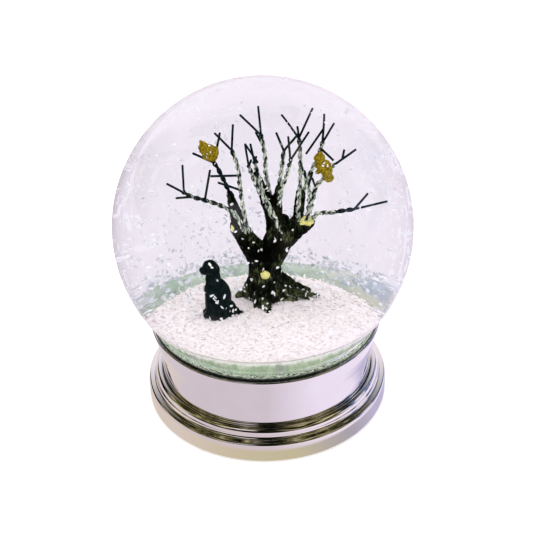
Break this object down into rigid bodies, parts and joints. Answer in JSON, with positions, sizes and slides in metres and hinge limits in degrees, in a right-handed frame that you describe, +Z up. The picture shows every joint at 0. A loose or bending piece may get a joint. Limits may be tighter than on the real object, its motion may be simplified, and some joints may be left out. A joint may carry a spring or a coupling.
{
  "type": "snow globe",
  "caption": "Water-filled glass ball on a stepped polished metal base, with a bare wire-branched tree, a sitting dog and squirrels on a snowy mound inside.",
  "frame": {"origin": "middle of the felt pad's underside, on the surface that the globe stands on", "axes": "+Z up through the middle of the ball; -Y is the front of the scene, +X its right"},
  "size_m": [0.1198, 0.1198, 0.1394],
  "materials": {
    "clear_glass": "clear, polished",
    "polished_metal": "mirror polished, slightly warm nickel tone",
    "sealing_bead": "dark green, glossy",
    "base_plastic": "moulded, matt",
    "stopper_rubber": "matt",
    "felt": "dark felt",
    "plinth_green": "painted resin, sage green",
    "snow": "granular white flock on resin",
    "bark": "painted resin, dark brown-green with dry-brushed grain",
    "dark_wire": "coated wire, dark blue-green",
    "black_resin": "painted resin, semi-gloss",
    "golden_resin": "painted resin, golden brown",
    "screw_steel": "plated"
  },
  "bodies": {
    "root": {"base_plate": "base_plastic", "base_screw_1": "screw_steel", "base_screw_2": "screw_steel", "base_screw_3": "screw_steel", "branch_centre_back": "dark_wire", "branch_centre_front": "dark_wire", "branch_centre_right": "dark_wire", "branch_centre_short": "dark_wire", "branch_centre_tall": "dark_wire", "branch_left_high": "dark_wire", "branch_left_low": "dark_wire", "branch_left_squirrel": "dark_wire", "branch_right_back": "dark_wire", "branch_right_inner": "dark_wire", "branch_right_low": "dark_wire", "branch_right_squirrel": "dark_wire", "branch_right_tall": "dark_wire", "collar_band": "polished_metal", "dog": "black_resin", "felt_pad": "felt", "filler_plug": "stopper_rubber", "foot_ring": "polished_metal", "glass_globe": "clear_glass", "globe_cradle": "base_plastic", "globe_seal": "sealing_bead", "rubber_stopper": "stopper_rubber", "scene_plinth": "plinth_green", "snow_mound": "snow", "squirrel_left": "golden_resin", "squirrel_right": "golden_resin", "tree_trunk": "bark"}
  },
  "joints": []
}
